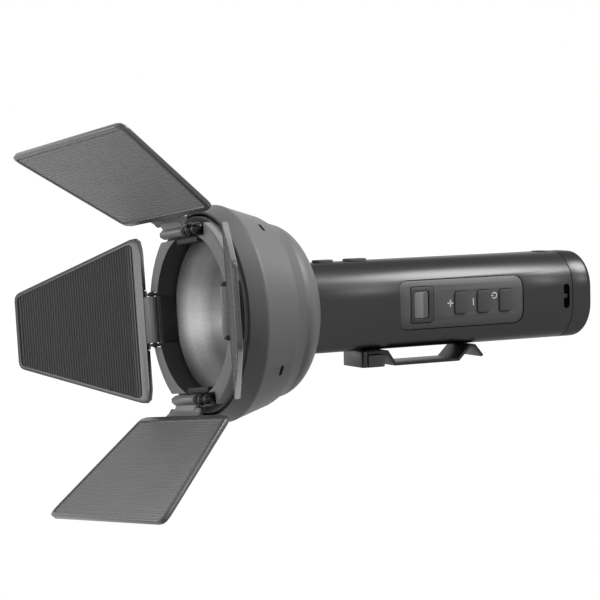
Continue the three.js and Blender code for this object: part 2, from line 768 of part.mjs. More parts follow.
// A cap that shows through a hole of the plate, with a flange behind it that keeps it in
function flangedCap(station, along, up, radius, proud, flange) {
  const back = -plateDepth - gap;
  const cap = sideShell(sideRect(station, along, up, radius), proud - plateSink, back - half(flangeDepth));
  const collar = sideShell(
    sideRect(station, along + flange, up + flange, radius + flange), back, back - flangeDepth);
  return cap.add(collar);
}

const windowFace = plateFace + bezelProud - windowSink;

function displayBezel() {
  const body = flangedCap(bezelCentre, bezelHalf, bezelHalfHeight, bezelCorner, bezelProud, frameFlange);
  return body.subtract(alongX(sideRect(windowStation, windowHalf + gap, windowHalfHeight + gap, bezelCorner),
    windowFace - windowThickness - gap, handleHalf + cut));
}

function topButton({ station, half: along }) {
  const back = boreHalf - gap;
  const cap = alongZ(topRect(station, along, topButtonHalfWidth, topButtonHalfWidth), back - half(flangeDepth),
    handleHalf + topButtonProud);
  const collar = alongZ(topRect(station, along + buttonFlange, topButtonHalfWidth + buttonFlange,
    topButtonHalfWidth + buttonFlange), back - flangeDepth, back);
  return cap.add(collar);
}

add('handle_tube', handleTube(), looks.handle);
add('tail_cap', tailCap(), looks.handle);
add('control_panel', controlPlate(), looks.plate);
add('display_bezel', displayBezel(), looks.dark);
add('display_window', alongX(sideRect(windowStation, windowHalf, windowHalfHeight, bezelCorner - gap),
  windowFace - windowThickness, windowFace), looks.glass);
for (const [name, step] of Object.entries(buttonSteps)) {
  add(`button_${name}`, flangedCap(panelFront + step, buttonHalf, buttonHalfHeight, buttonCorner, buttonProud,
    buttonFlange), looks.button);
}
for (const [name, button] of Object.entries(topButtons)) {
  add(`top_button_${name}`, topButton(button), looks.button);
}
add('port_cover', alongZ(topRect(portStation, portHalf, portHalfWidth, portCorner),
  handleHalf - portPocket, handleHalf + portProud), looks.dark);

// Inside the handle
const cellCentre = -(boreHalf - cellRadius - gap);
const boardFlat = boreHalf - boreCorner;
const boardHalf = boardFlat + Math.sqrt(boreCorner ** 2 - (boardOuter - boardFlat) ** 2) - gap;
add('battery_cell', moved(disc(cellRadius, cellFront, cellBack), shift(cellCentre, 0, 0)), looks.cell);
add('main_board', alongY(rect(boardOuter - boardThickness, -boardHalf, boardOuter, boardHalf), boardFront, boardBack),
  looks.board);

// Belt clip under the handle
const stripRest = clipTop - half(stripThickness);

function clipBlock() {
  const body = alongZ(roundedRect(-blockHalf, at(blockFront), blockHalf, at(blockBack), blockCorner),
    clipTop - blockHeight, clipTop);
  const slotLow = stripRest - half(stripThickness) - stripSlotRoom;
  const slot = alongZ(rect(-blockHalf - cut, at(stripRoot) - gap, blockHalf + cut, at(blockBack) + cut),
    slotLow, clipTop + cut);
  const grooveEnd = at(blockFront) + blockGrooveInset;
  const grooves = [-blockHalf, blockHalf].map(side =>
    alongZ(rect(side - blockGroove, grooveEnd - blockGroove, side + blockGroove, grooveEnd),
      clipTop - blockHeight - cut, clipTop + cut));
  const shank = moved(rodAlongZ(screwRadius + gap, clipTop - blockHeight - cut, clipTop + cut),
    shift(0, at(screwStation), 0));
  const head = moved(rodAlongZ(screwHeadRadius + gap, clipTop - blockHeight - cut,
    clipTop - blockHeight + screwHeadDepth + 2 * gap), shift(0, at(screwStation), 0));
  return subtract(body, [slot, ...grooves, shank, head]);
}

function clipStrip() {
  const line = [
    [at(stripRoot), stripRest],
    [at(blockBack + stripThickness), stripRest],
    [at(stripLowStart), -stripLow],
    [at(stripLowEnd), -stripLow],
    [at(stripTouchStart), stripRest],
    [at(stripTouchEnd), stripRest],
    [at(stripTip), -stripTipDrop],
  ];
  const strip = alongX(ribbon(line, stripThickness), -stripHalf, stripHalf);
  const hole = moved(rodAlongZ(screwRadius + 2 * gap, stripRest - stripThickness, clipTop + cut),
    shift(0, at(screwStation), 0));
  return strip.subtract(hole);
}

function clipScrew() {
  const low = clipTop - blockHeight + gap;
  const shank = rodAlongZ(screwRadius, low + half(screwHeadDepth), -boreHalf + screwReach);
  const head = rodAlongZ(screwHeadRadius, low, low + screwHeadDepth);
  const socket = rodAlongZ(socketRadius, low - cut, low + socketDepth, socketSides);
  return moved(shank.add(head).subtract(socket), shift(0, at(screwStation), 0));
}

add('clip_block', clipBlock(), looks.dark);
add('clip_strip', clipStrip(), looks.steel);
add('clip_screw', clipScrew(), looks.steel);

export default group;
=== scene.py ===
# Looks of the handheld LED light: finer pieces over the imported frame, materials, studio and camera.
import json
import math

import bmesh
import bpy
from mathutils import Matrix, Vector

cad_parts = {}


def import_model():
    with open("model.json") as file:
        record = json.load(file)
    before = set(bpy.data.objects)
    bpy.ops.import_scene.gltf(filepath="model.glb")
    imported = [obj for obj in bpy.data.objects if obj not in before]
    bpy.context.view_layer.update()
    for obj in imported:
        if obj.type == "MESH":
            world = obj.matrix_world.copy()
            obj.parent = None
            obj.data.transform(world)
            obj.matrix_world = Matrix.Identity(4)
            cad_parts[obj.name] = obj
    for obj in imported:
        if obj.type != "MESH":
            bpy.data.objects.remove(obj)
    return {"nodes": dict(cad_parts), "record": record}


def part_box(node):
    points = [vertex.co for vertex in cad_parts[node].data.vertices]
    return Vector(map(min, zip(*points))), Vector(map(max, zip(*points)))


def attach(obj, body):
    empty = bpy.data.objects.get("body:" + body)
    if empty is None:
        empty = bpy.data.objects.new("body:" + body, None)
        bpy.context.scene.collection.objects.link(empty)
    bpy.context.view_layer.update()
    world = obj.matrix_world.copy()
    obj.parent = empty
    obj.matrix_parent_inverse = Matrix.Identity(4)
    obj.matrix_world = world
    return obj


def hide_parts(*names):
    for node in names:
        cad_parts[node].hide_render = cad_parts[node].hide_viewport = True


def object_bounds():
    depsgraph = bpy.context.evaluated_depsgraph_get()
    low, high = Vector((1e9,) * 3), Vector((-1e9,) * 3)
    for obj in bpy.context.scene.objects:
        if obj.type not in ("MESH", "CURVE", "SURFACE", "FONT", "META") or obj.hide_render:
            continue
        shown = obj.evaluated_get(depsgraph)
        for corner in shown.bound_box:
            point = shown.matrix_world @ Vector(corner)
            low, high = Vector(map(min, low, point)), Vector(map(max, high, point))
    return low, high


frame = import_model()
nodes = frame["nodes"]
cad_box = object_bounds()

# Sizes of the object are in millimetres and angles in degrees.
# A station is a distance from the door ring's face toward the tail.
MM = 0.001
MICRON = 0.000001
BODY_LENGTH = 189.0
DOORS = ("top", "right", "bottom", "left")

# Mesh helpers
MERGE = 0.001
ON_AXIS = 1e-6
SHARP = 35
CORNER_STEPS = 8


def link(name, bm):
    mesh = bpy.data.meshes.new(name)
    bm.to_mesh(mesh)
    bm.free()
    obj = bpy.data.objects.new(name, mesh)
    bpy.context.scene.collection.objects.link(obj)
    return obj


def apply_modifiers(obj):
    depsgraph = bpy.context.evaluated_depsgraph_get()
    mesh = bpy.data.meshes.new_from_object(obj.evaluated_get(depsgraph))
    obj.modifiers.clear()
    old = obj.data
    obj.data = mesh
    bpy.data.meshes.remove(old)


def smooth(obj, angle=SHARP):
    for polygon in obj.data.polygons:
        polygon.use_smooth = True
    obj.data.set_sharp_from_angle(angle=math.radians(angle))


def bevel(obj, width, segments, angle):
    modifier = obj.modifiers.new("edges", "BEVEL")
    modifier.width = width * MM
    modifier.segments = segments
    modifier.limit_method = "ANGLE"
    modifier.angle_limit = math.radians(angle)
    modifier.harden_normals = False
    apply_modifiers(obj)


def carve(obj, cutters):
    for cutter in cutters:
        modifier = obj.modifiers.new("carve", "BOOLEAN")
        modifier.operation = "DIFFERENCE"
        modifier.solver = "EXACT"
        modifier.object = cutter
    apply_modifiers(obj)
    for cutter in cutters:
        bpy.data.objects.remove(cutter)


def from_node(node, width=0.0, segments=2, flat=1.0, angle=SHARP):
    """A finer copy of a CAD node: flat faces joined again, and its edges rounded."""
    bm = bmesh.new()
    bm.from_mesh(nodes[node].data)
    bmesh.ops.remove_doubles(bm, verts=bm.verts, dist=MERGE * MM)
    bmesh.ops.dissolve_limit(bm, angle_limit=math.radians(flat), verts=bm.verts, edges=bm.edges)
    obj = link("fine_" + node, bm)
    if width:
        bevel(obj, width, segments, angle)
    smooth(obj, angle)
    return obj


def along_x(a, b, level):
    return level * MM, (a - BODY_LENGTH) * MM, b * MM


def along_y(a, b, level):
    return a * MM, (level - BODY_LENGTH) * MM, b * MM


def along_z(a, b, level):
    return a * MM, (b - BODY_LENGTH) * MM, level * MM


def about_y(obj, degrees):
    obj.data.transform(Matrix.Rotation(math.radians(degrees), 4, "Y"))


def lathe(name, profile, segments, closed=True):
    """Turns (radius, station) points round the light's axis."""
    bm = bmesh.new()
    angles = [2 * math.pi * k / segments for k in range(segments)]
    rows = []
    for radius, station in profile:
        turns = angles if radius > ON_AXIS else angles[:1]
        rows.append([bm.verts.new(along_y(radius * math.cos(a), radius * math.sin(a), station))
                     for a in turns])
    pairs = list(zip(rows, rows[1:])) + ([(rows[-1], rows[0])] if closed else [])
    for one, two in pairs:
        for k in range(segments):
            nxt = (k + 1) % segments
            corners = [one[k % len(one)], one[nxt % len(one)], two[nxt % len(two)], two[k % len(two)]]
            corners = list(dict.fromkeys(corners))
            if len(corners) > 2:
                bm.faces.new(corners)
    bmesh.ops.recalc_face_normals(bm, faces=bm.faces)
    return link(name, bm)


def loft(name, rings):
    """One closed body through rings of equal point counts, each a list of places in metres."""
    bm = bmesh.new()
    rows = [[bm.verts.new(place) for place in ring] for ring in rings]
    for one, two in zip(rows, rows[1:]):
        for k in range(len(one)):
            nxt = (k + 1) % len(one)
            bm.faces.new([one[k], one[nxt], two[nxt], two[k]])
    bm.faces.new(rows[0])
    bm.faces.new(rows[-1])
    bmesh.ops.recalc_face_normals(bm, faces=bm.faces)
    return link(name, bm)


def prism(name, outline, low, high, to_world):
    """An outline of (a, b) points between two levels; to_world maps (a, b, level) to a place in metres."""
    return loft(name, [[to_world(a, b, level) for a, b in outline] for level in (low, high)])


def arc(cx, cy, radius, start, end, steps):
    return [(cx + radius * math.cos(a), cy + radius * math.sin(a))
            for a in (math.radians(start + (end - start) * k / steps) for k in range(steps + 1))]


def rounded(x0, y0, x1, y1, radius, steps=CORNER_STEPS):
    left, right, low, high = x0 + radius, x1 - radius, y0 + radius, y1 - radius
    return (arc(right, low, radius, -90, 0, steps) + arc(right, high, radius, 0, 90, steps)
            + arc(left, high, radius, 90, 180, steps) + arc(left, low, radius, 180, 270, steps))


def near(radius, station, offsets):
    """Profile points round a corner, given by their offsets from it."""
    return [(radius + outward, station + onward) for outward, onward in offsets]


def station_of(point):
    return point.y / MM + BODY_LENGTH


# Materials
NOISE_SPAN = (0.3, 0.7)
MOTTLE_DETAIL = 4.0
GRAIN_DETAIL, GRAIN_ROUGHNESS = 2.0, 0.6
SHEEN_ROUGHNESS = 0.4


class Graph:
    def __init__(self, name):
        self.material = bpy.data.materials.new(name)
        self.material.use_nodes = True
        self.nodes = self.material.node_tree.nodes
        self.links = self.material.node_tree.links
        self.shader = self.nodes["Principled BSDF"]
        self.coords = self.nodes.new("ShaderNodeTexCoord").outputs["Object"]

    def noise(self, scale, detail=3.0, roughness=0.5, vector=None):
        node = self.nodes.new("ShaderNodeTexNoise")
        node.inputs["Scale"].default_value = scale
        node.inputs["Detail"].default_value = detail
        node.inputs["Roughness"].default_value = roughness
        self.links.new(vector or self.coords, node.inputs["Vector"])
        return node.outputs["Fac"]

    def stretched(self, scale):
        node = self.nodes.new("ShaderNodeMapping")
        node.inputs["Scale"].default_value = scale
        self.links.new(self.coords, node.inputs["Vector"])
        return node.outputs["Vector"]

    def ramp(self, fac, stops):
        node = self.nodes.new("ShaderNodeValToRGB")
        elements = node.color_ramp.elements
        for k, (position, color) in enumerate(stops):
            element = elements[k] if k < len(elements) else elements.new(position)
            element.position = position
            element.color = (*color, 1)
        self.links.new(fac, node.inputs["Fac"])
        return node.outputs["Color"]

    def map_range(self, value, low, high, source=NOISE_SPAN):
        node = self.nodes.new("ShaderNodeMapRange")
        node.inputs["From Min"].default_value, node.inputs["From Max"].default_value = source
        node.inputs["To Min"].default_value = low
        node.inputs["To Max"].default_value = high
        self.links.new(value, node.inputs["Value"])
        return node.outputs["Result"]

    def along(self, start, end):
        """0 to 1 between two stations."""
        split = self.nodes.new("ShaderNodeSeparateXYZ")
        self.links.new(self.coords, split.inputs["Vector"])
        places = ((start - BODY_LENGTH) * MM, (end - BODY_LENGTH) * MM)
        return self.map_range(split.outputs["Y"], 0.0, 1.0, places)

    def scaled(self, color, value):
        node = self.nodes.new("ShaderNodeVectorMath")
        node.operation = "SCALE"
        self.links.new(color, node.inputs[0])
        self.links.new(value, node.inputs["Scale"])
        return node.outputs["Vector"]

    def bump(self, height, depth, strength=1.0):
        node = self.nodes.new("ShaderNodeBump")
        node.inputs["Distance"].default_value = depth * MICRON
        node.inputs["Strength"].default_value = strength
        self.links.new(height, node.inputs["Height"])
        self.links.new(node.outputs["Normal"], self.shader.inputs["Normal"])

    def feed(self, socket, value):
        self.links.new(value, self.shader.inputs[socket])

    def set(self, socket, value):
        self.shader.inputs[socket].default_value = value


def grey(level):
    return (level, level, level)


def grey_stops(tones):
    return [(share, grey(level)) for share, level in tones]


def surface(name, color, roughness, metallic=0.0, spread=0.05, grain=1500, depth=10, mottle=60,
            rough_spread=0.06, specular=0.5, edge=1.0, sheen=0.0, brushed=None):
    """Grained paint, plastic or metal. The colour varies by spread over patches of 1/mottle metres, and the
    gloss by rough_spread over grains of 1/grain metres, which stand depth microns high. Sheen lightens a
    powder coat that is seen from a low angle, and edge is a metal's tint there."""
    graph = Graph(name)
    low = tuple(c * (1 - spread) for c in color)
    high = tuple(min(1.0, c * (1 + spread)) for c in color)
    graph.feed("Base Color", graph.ramp(graph.noise(mottle, MOTTLE_DETAIL), zip(NOISE_SPAN, (low, high))))
    fine = graph.noise(grain, GRAIN_DETAIL, GRAIN_ROUGHNESS, graph.stretched(brushed) if brushed else None)
    graph.feed("Roughness", graph.map_range(fine, roughness - rough_spread, roughness + rough_spread))
    graph.bump(fine, depth)
    graph.set("Metallic", metallic)
    graph.set("Specular IOR Level", specular)
    graph.set("Specular Tint", (*grey(edge), 1))
    graph.set("Sheen Weight", sheen)
    graph.set("Sheen Roughness", SHEEN_ROUGHNESS)
    return graph.material


def bell_paint(name, level):
    return surface(name, grey(level), 0.48, spread=0.04, depth=2, mottle=45, rough_spread=0.01, specular=0.38)


MATERIALS = {
    "bell": bell_paint("bell_paint", 0.115),
    # strip: the bell's grey darkened, as painted shade on the band that tilts backward.
    "strip": bell_paint("strip_painted_shade", 0.09),
    "seat": surface("seat_plastic", grey(0.012), 0.7, spread=0.12, grain=900, depth=30, specular=0.15),
    "ring": surface("ring_paint", grey(0.25), 0.5, grain=1800, depth=2, mottle=70, rough_spread=0.01,
                    specular=0.2),
    "bore": surface("bore_paint", grey(0.06), 0.7, spread=0.1, grain=1200, mottle=80, specular=0.15),
    "door": surface("door_paint", grey(0.058), 0.42, spread=0.04, grain=1600, depth=0.2, mottle=55,
                    rough_spread=0.005, specular=0.4, sheen=0.9),
    "rim": surface("rim_paint", grey(0.045), 0.27, spread=0.04, grain=1600, depth=1, mottle=55,
                   rough_spread=0.01, specular=0.6),
    "bracket": surface("bracket_paint", grey(0.17), 0.42, depth=0.5, mottle=80, rough_spread=0.005),
    "dark": surface("black_plastic", grey(0.03), 0.5, spread=0.2, grain=1200, depth=8, mottle=80,
                    specular=0.15),
    "pin": surface("black_steel", grey(0.004), 0.2, spread=0.1, grain=900, depth=0.5, mottle=80,
                   rough_spread=0.01, specular=0.18),
    "handle": surface("anodised_shell", grey(0.044), 0.3, metallic=1.0, spread=0.04, grain=2200, depth=0.5,
                      mottle=30, rough_spread=0.01, edge=0.55),
    "plate": surface("panel_plastic", grey(0.068), 0.5, spread=0.06, depth=5, rough_spread=0.02,
                     specular=0.4),
    "bezel": surface("bezel_plastic", grey(0.04), 0.5, spread=0.06, specular=0.3),
    "button": surface("button_rubber", grey(0.06), 0.6, spread=0.06, grain=1400, specular=0.3),
    "clip_steel": surface("clip_coating", grey(0.015), 0.42, spread=0.1, depth=5, specular=0.3),
    "block": surface("block_plastic", grey(0.035), 0.35, spread=0.1, depth=4, specular=0.4),
    "screw": surface("screw_steel", grey(0.4), 0.3, metallic=1.0, grain=1200, depth=20),
    "sink": surface("sink_metal", grey(0.55), 0.35, metallic=1.0, grain=700, depth=30, brushed=(1, 0.05, 1)),
    "board": surface("board_mask", (0.01, 0.1, 0.04), 0.4, spread=0.1, grain=500, depth=20, mottle=200),
    "chip": surface("chip_phosphor", (0.75, 0.64, 0.3), 0.5, spread=0.08, depth=20, mottle=200),
    "cell": surface("cell_sleeve", (0.02, 0.08, 0.25), 0.3, grain=600, depth=20),
    "mark": surface("mark_ink", grey(0.75), 0.5, spread=0.04, grain=2000, mottle=200),
}

# Dish colour along its axis as (share of the way from front to back, level): a painted highlight a little way
# in and painted shade at the mouth, over the metal's own grey; and the noises over them
DISH_PAINTED_LIGHT = ((0.0, 0.09), (0.07, 0.24), (0.17, 0.52), (0.3, 0.52), (0.44, 0.28), (1.0, 0.32))
DISH_PAINTED_LIGHT_FROM, DISH_PAINTED_LIGHT_TO = 8.0, 38.0
DISH_PEEL, DISH_GRAIN, DISH_MOTTLE = 1300, 1500, 60
DISH_PEEL_DEPTH, DISH_PEEL_STRENGTH = 50, 0.7
DISH_METALLIC = 0.72
DISH_ROUGHNESS = (0.43, 0.5)
DISH_VARIATION = (0.9, 1.1)


def reflector_material():
    """Satin dish with a fine orange peel. Its colour is painted light: dark at the mouth as painted shade,
    bright a little way in as a painted highlight.
    """
    graph = Graph("dish_metal_painted_highlight")
    graph.bump(graph.noise(DISH_PEEL, roughness=GRAIN_ROUGHNESS), DISH_PEEL_DEPTH, DISH_PEEL_STRENGTH)
    slow = graph.noise(DISH_MOTTLE, MOTTLE_DETAIL)
    fine = graph.noise(DISH_GRAIN, GRAIN_DETAIL, GRAIN_ROUGHNESS)
    # This colour ramp along the axis paints the highlight band and the shaded mouth into the base colour.
    tone = graph.ramp(graph.along(DISH_PAINTED_LIGHT_FROM, DISH_PAINTED_LIGHT_TO), grey_stops(DISH_PAINTED_LIGHT))
    for noise in (slow, fine):
        tone = graph.scaled(tone, graph.map_range(noise, *DISH_VARIATION))
    graph.feed("Base Color", tone)
    graph.feed("Roughness", graph.map_range(slow, *DISH_ROUGHNESS))
    graph.set("Metallic", DISH_METALLIC)
    return graph.material


# Display tones along the window, as for the dish
WINDOW_TONES = ((0.0, 0.17), (0.6, 0.22), (0.68, 0.1), (1.0, 0.09))
WINDOW_SMEAR = 300
WINDOW_ROUGHNESS = (0.12, 0.2)


def window_material():
    """Grey display under a glossy cover, darker over its far third."""
    graph = Graph("display_cover")
    low, high = (station_of(corner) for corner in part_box("display_window"))
    graph.feed("Base Color", graph.ramp(graph.along(low, high), grey_stops(WINDOW_TONES)))
    graph.feed("Roughness", graph.map_range(graph.noise(WINDOW_SMEAR), *WINDOW_ROUGHNESS))
    return graph.material


MATERIALS["reflector"] = reflector_material()
MATERIALS["window"] = window_material()
slot_of = {subpart["node"]: subpart["material_slot"] for subpart in frame["record"]["subparts"]}


def dress(obj, look):
    obj.data.materials.clear()
    obj.data.materials.append(MATERIALS[look])


def repaint(obj, look, polygons):
    obj.data.materials.append(MATERIALS[look])
    for polygon in polygons:
        polygon.material_index = len(obj.data.materials) - 1


def piece(obj, body, *replaced, look=None):
    name = look or slot_of[replaced[0]]
    dress(obj, name)
    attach(obj, body)
    if replaced:
        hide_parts(*replaced)
    return obj


for node, obj in nodes.items():
    dress(obj, slot_of[node])

# Head: radii and stations of the bell, and the points that round its corners
BELL_MOUTH, BELL_FACE, BELL_FACE_AT = 41.4, 42.5, 4.8
FACE_CHAMFER, FACE_CHAMFER_DEPTH = 0.25, 0.2
RIM, RIM_AT = 44.9, 12.4
RIM_CORNER = ((-0.12, -1.2), (0, -0.4), (-0.1, 0.2), (-0.45, 0.9))
BAND, BAND_AT = 39.8, 28.2
BAND_CORNER = ((0.16, -0.45), (-0.2, 0.35))
SHOULDER, SHOULDER_AT = 36.4, 34.5
SHOULDER_CORNER = ((0.18, -0.5),)
DOME_DEPTH, DOME_END, DOME_STEPS = 16.3, 18, 24
BELL_WALL = 2.0
LEDGE_AT = 16.2
HEAD_SEGMENTS = 192
HANDLE_HALF, HANDLE_CORNER, HANDLE_STEPS = 19.0, 15.5, 14
HANDLE_CLEAR, HANDLE_CUT_FROM, HANDLE_CUT_TO = 0.3, 34, 80
SLOT_COUNT, SLOT_AT, SLOT_TURN = 4, 22.0, 31.0
SLOT_HALF_LENGTH, SLOT_HALF_WIDTH, SLOT_CORNER = 2.5, 0.8, 0.79
SLOT_CUT_FROM, SLOT_CUT_TO = 37, 46
BELL_SHARP, DISH_SHARP = 22, 40
TOWARD_AXIS = 0.5


def handle_section(inset):
    half = HANDLE_HALF - inset
    return rounded(-half, -half, half, half, HANDLE_CORNER - inset, HANDLE_STEPS)


def faces_axis(polygon):
    normal, centre = polygon.normal, polygon.center
    return normal.x * centre.x + normal.z * centre.z < -TOWARD_AXIS * math.hypot(centre.x, centre.z)


def dome(inset):
    wide, deep = SHOULDER - inset, DOME_DEPTH - inset
    end = math.acos(DOME_END / wide)
    return [(wide * math.cos(a), SHOULDER_AT + deep * math.sin(a))
            for a in (end * k / DOME_STEPS for k in range(DOME_STEPS + 1))]


def bell():
    profile = [(BELL_MOUTH, BELL_FACE_AT + FACE_CHAMFER_DEPTH), (BELL_MOUTH + FACE_CHAMFER, BELL_FACE_AT),
               (BELL_FACE - FACE_CHAMFER, BELL_FACE_AT), (BELL_FACE, BELL_FACE_AT + FACE_CHAMFER_DEPTH)]
    profile += near(RIM, RIM_AT, RIM_CORNER) + near(BAND, BAND_AT, BAND_CORNER)
    profile += near(SHOULDER, SHOULDER_AT, SHOULDER_CORNER) + dome(0) + dome(BELL_WALL)[::-1]
    profile += [(BAND - BELL_WALL, BAND_AT), (BELL_MOUTH, LEDGE_AT)]
    obj = lathe("bell_shell", profile, HEAD_SEGMENTS)
    cutters = [prism("cut_handle", handle_section(-HANDLE_CLEAR), HANDLE_CUT_FROM, HANDLE_CUT_TO, along_y)]
    outline = rounded(-SLOT_HALF_LENGTH, SLOT_AT - SLOT_HALF_WIDTH,
                      SLOT_HALF_LENGTH, SLOT_AT + SLOT_HALF_WIDTH, SLOT_CORNER)
    for k in range(SLOT_COUNT):
        slot = prism("cut_slot", outline, SLOT_CUT_FROM, SLOT_CUT_TO, along_z)
        about_y(slot, SLOT_TURN + 360 / SLOT_COUNT * k)
        cutters.append(slot)
    carve(obj, cutters)
    smooth(obj, BELL_SHARP)
    piece(obj, "body", "bell_housing")
    # The band between BAND_AT and SHOULDER_AT gets the darker strip grey: painted shade for its backward tilt.
    repaint(obj, "strip", [p for p in obj.data.polygons if BAND_AT < station_of(p.center) < SHOULDER_AT])


# Dish: a paraboloid between its mouth and its foot, with a flange round its outside
DISH_MOUTH, DISH_FOOT, DISH_FRONT, DISH_BACK = 31.6, 11.0, 8.0, 38.6
DISH_WALL, DISH_EDGE, DISH_STEPS, DISH_OUTER_STRIDE = 1.1, 0.2, 60, 6
FLANGE = [(29.0, 17.5), (38.1, 17.4), (38.1, LEDGE_AT), (29.3, LEDGE_AT)]
FLANGE_ROOT_FRONT, FLANGE_ROOT_BACK = 15, 19
SEAT_PAINT_DEPTH = 0.25


def dish():
    spread = (DISH_MOUTH ** 2 - DISH_FOOT ** 2) / (DISH_BACK - DISH_FRONT)
    vertex = DISH_FRONT + DISH_MOUTH ** 2 / spread
    first = DISH_FRONT + DISH_EDGE
    stations = [first + (DISH_BACK - first) * k / DISH_STEPS for k in range(DISH_STEPS + 1)]
    inner = [(math.sqrt(spread * (vertex - station)), station) for station in stations]
    outer = [(radius + DISH_WALL, station) for radius, station in inner[::DISH_OUTER_STRIDE]]
    behind = [point for point in outer if point[1] > FLANGE_ROOT_BACK]
    ahead = [point for point in outer if point[1] < FLANGE_ROOT_FRONT]
    lip = [(DISH_MOUTH + DISH_WALL - DISH_EDGE, DISH_FRONT), (DISH_MOUTH + DISH_EDGE, DISH_FRONT)]
    obj = lathe("dish", inner + behind[::-1] + FLANGE + ahead[::-1] + lip, HEAD_SEGMENTS)
    smooth(obj, DISH_SHARP)
    piece(obj, "body", "reflector")
    repaint(obj, "seat", [p for p in obj.data.polygons
                          if station_of(p.center) < DISH_FRONT + SEAT_PAINT_DEPTH or not faces_axis(p)])


# Rounding of the edges of the pieces in the head
INNER_EDGES = {"seat_ring": 0.2, "rear_collar": 0.2, "led_board": 0.15, "led_chip": 0.1, "heat_sink": 0.15,
               "main_board": 0.1, "battery_cell": 0.5}
INNER_SHARP = 40
RING_EDGE, RING_EDGE_STEPS = 0.35, 3

bell()
dish()
for node, width in INNER_EDGES.items():
    piece(from_node(node, width, angle=INNER_SHARP), "body", node)
door_ring = piece(from_node("door_ring", RING_EDGE, RING_EDGE_STEPS), "ring", "door_ring")
repaint(door_ring, "bore", [p for p in door_ring.data.polygons if faces_axis(p)])

# Hinges: a pin along its own axis, and a knob of two balls on the top and bottom ones
RING_TURN = -6.3
TURNS = {"top": 0, "right": 90, "bottom": 180, "left": 270}
KNOBBED = ("top", "bottom")
HINGE_RADIUS, HINGE_AT, BARREL_SHIFT = 34.6, -1.2, 7.5
PIN_END, PIN_RADIUS, PIN_EDGE = 11.75, 1.0, 0.2
KNOB_NEAR, KNOB_NEAR_RADIUS = 15.75, 2.9
KNOB_TIP, KNOB_TIP_RADIUS = 21.05, 2.7
KNOB_WAIST = 1.9
BALL_STEPS, PIN_SEGMENTS, PIN_SHARP = 14, 40, 30


def ball(centre, radius, start_radius, end_radius):
    """Points of a ball between the radii of what joins it on either side."""
    start = math.asin(start_radius / radius)
    end = math.pi - math.asin(end_radius / radius)
    angles = (start + (end - start) * k / BALL_STEPS for k in range(BALL_STEPS + 1))
    return [(radius * math.sin(a), centre - radius * math.cos(a)) for a in angles]


def pin(door):
    points = [(0, -PIN_END), (PIN_RADIUS - PIN_EDGE, -PIN_END), (PIN_RADIUS, -PIN_END + PIN_EDGE)]
    if door in KNOBBED:
        points += ball(KNOB_NEAR, KNOB_NEAR_RADIUS, PIN_RADIUS, KNOB_WAIST)
        points += ball(KNOB_TIP, KNOB_TIP_RADIUS, KNOB_WAIST, 0)
    else:
        points += [(PIN_RADIUS, PIN_END - PIN_EDGE), (PIN_RADIUS - PIN_EDGE, PIN_END), (0, PIN_END)]
    profile = [(radius, place + BODY_LENGTH) for radius, place in points]
    obj = lathe("fine_hinge_pin_" + door, profile, PIN_SEGMENTS, closed=False)
    obj.data.transform(Matrix.Rotation(math.radians(-90), 4, "Z"))
    if door in KNOBBED:
        obj.data.transform(Matrix.Translation((-BARREL_SHIFT * MM, 0, 0)))
    if door == "bottom":
        obj.data.transform(Matrix.Rotation(math.pi, 4, "Z"))
    obj.data.transform(Matrix.Translation(along_y(0, HINGE_RADIUS, HINGE_AT)))
    about_y(obj, TURNS[door] + RING_TURN)
    smooth(obj, PIN_SHARP)
    return obj


# Door panels: the ribs' relief as a share of the CAD's, and the rounding of the rim's outer edges
RIB_DROP, RIB_DEPTH = 0.25, 0.8
RELIEF = {"top": 0.22, "right": 0.7, "bottom": 0.22, "left": 0.7}
RIM_ROUND, RIM_STEPS, RIM_SHARP = 0.6, 4, 30
LEVEL_SLACK = 0.05
SIDE_TILT = 0.1
HINGE_EDGE, BRACKET_EDGE = 0.25, 0.15


def soften_ribs(bm, height, outward, share):
    for vert in bm.verts:
        if RIB_DROP - LEVEL_SLACK < height(vert) < RIB_DEPTH + LEVEL_SLACK:
            vert.co -= outward * (height(vert) - RIB_DROP) * (1 - share) * MM


def rim_edges(bm, height, outward):
    """The edges between the panel's outer sides and its two faces."""
    thickness = max(height(vert) for vert in bm.verts)

    def level(vert):
        if height(vert) < LEVEL_SLACK:
            return "front"
        return "back" if thickness - height(vert) < LEVEL_SLACK else "between"

    sides = {face for face in bm.faces if abs(face.normal.dot(outward)) < SIDE_TILT
             and {level(vert) for vert in face.verts} == {"front", "back"}}
    return [edge for edge in bm.edges if len(set(edge.link_faces) & sides) == 1
            and level(edge.verts[0]) == level(edge.verts[1]) != "between"]


def door_panel(door):
    """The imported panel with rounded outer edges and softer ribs, and its smooth faces in the rim's paint."""
    obj = from_node(f"door_panel_{door}")
    outward = max(obj.data.polygons, key=lambda polygon: polygon.area).normal.copy()
    bm = bmesh.new()
    bm.from_mesh(obj.data)
    beam_face = min(vert.co.dot(outward) for vert in bm.verts)

    def height(vert):
        return (vert.co.dot(outward) - beam_face) / MM

    soften_ribs(bm, height, outward, RELIEF[door])
    for face in bm.faces:
        heights = [height(vert) for vert in face.verts]
        is_rib = min(heights) > RIB_DROP - LEVEL_SLACK and max(heights) < RIB_DEPTH + LEVEL_SLACK
        face.material_index = 0 if is_rib else 1
    bmesh.ops.bevel(bm, geom=rim_edges(bm, height, outward), offset=RIM_ROUND * MM, segments=RIM_STEPS,
                    profile=0.5, affect="EDGES", clamp_overlap=True, material=1)
    rim = [face.material_index for face in bm.faces]
    bm.to_mesh(obj.data)
    bm.free()
    smooth(obj, RIM_SHARP)
    piece(obj, f"door_{door}", f"door_panel_{door}")
    repaint(obj, "rim", [p for p in obj.data.polygons if rim[p.index]])


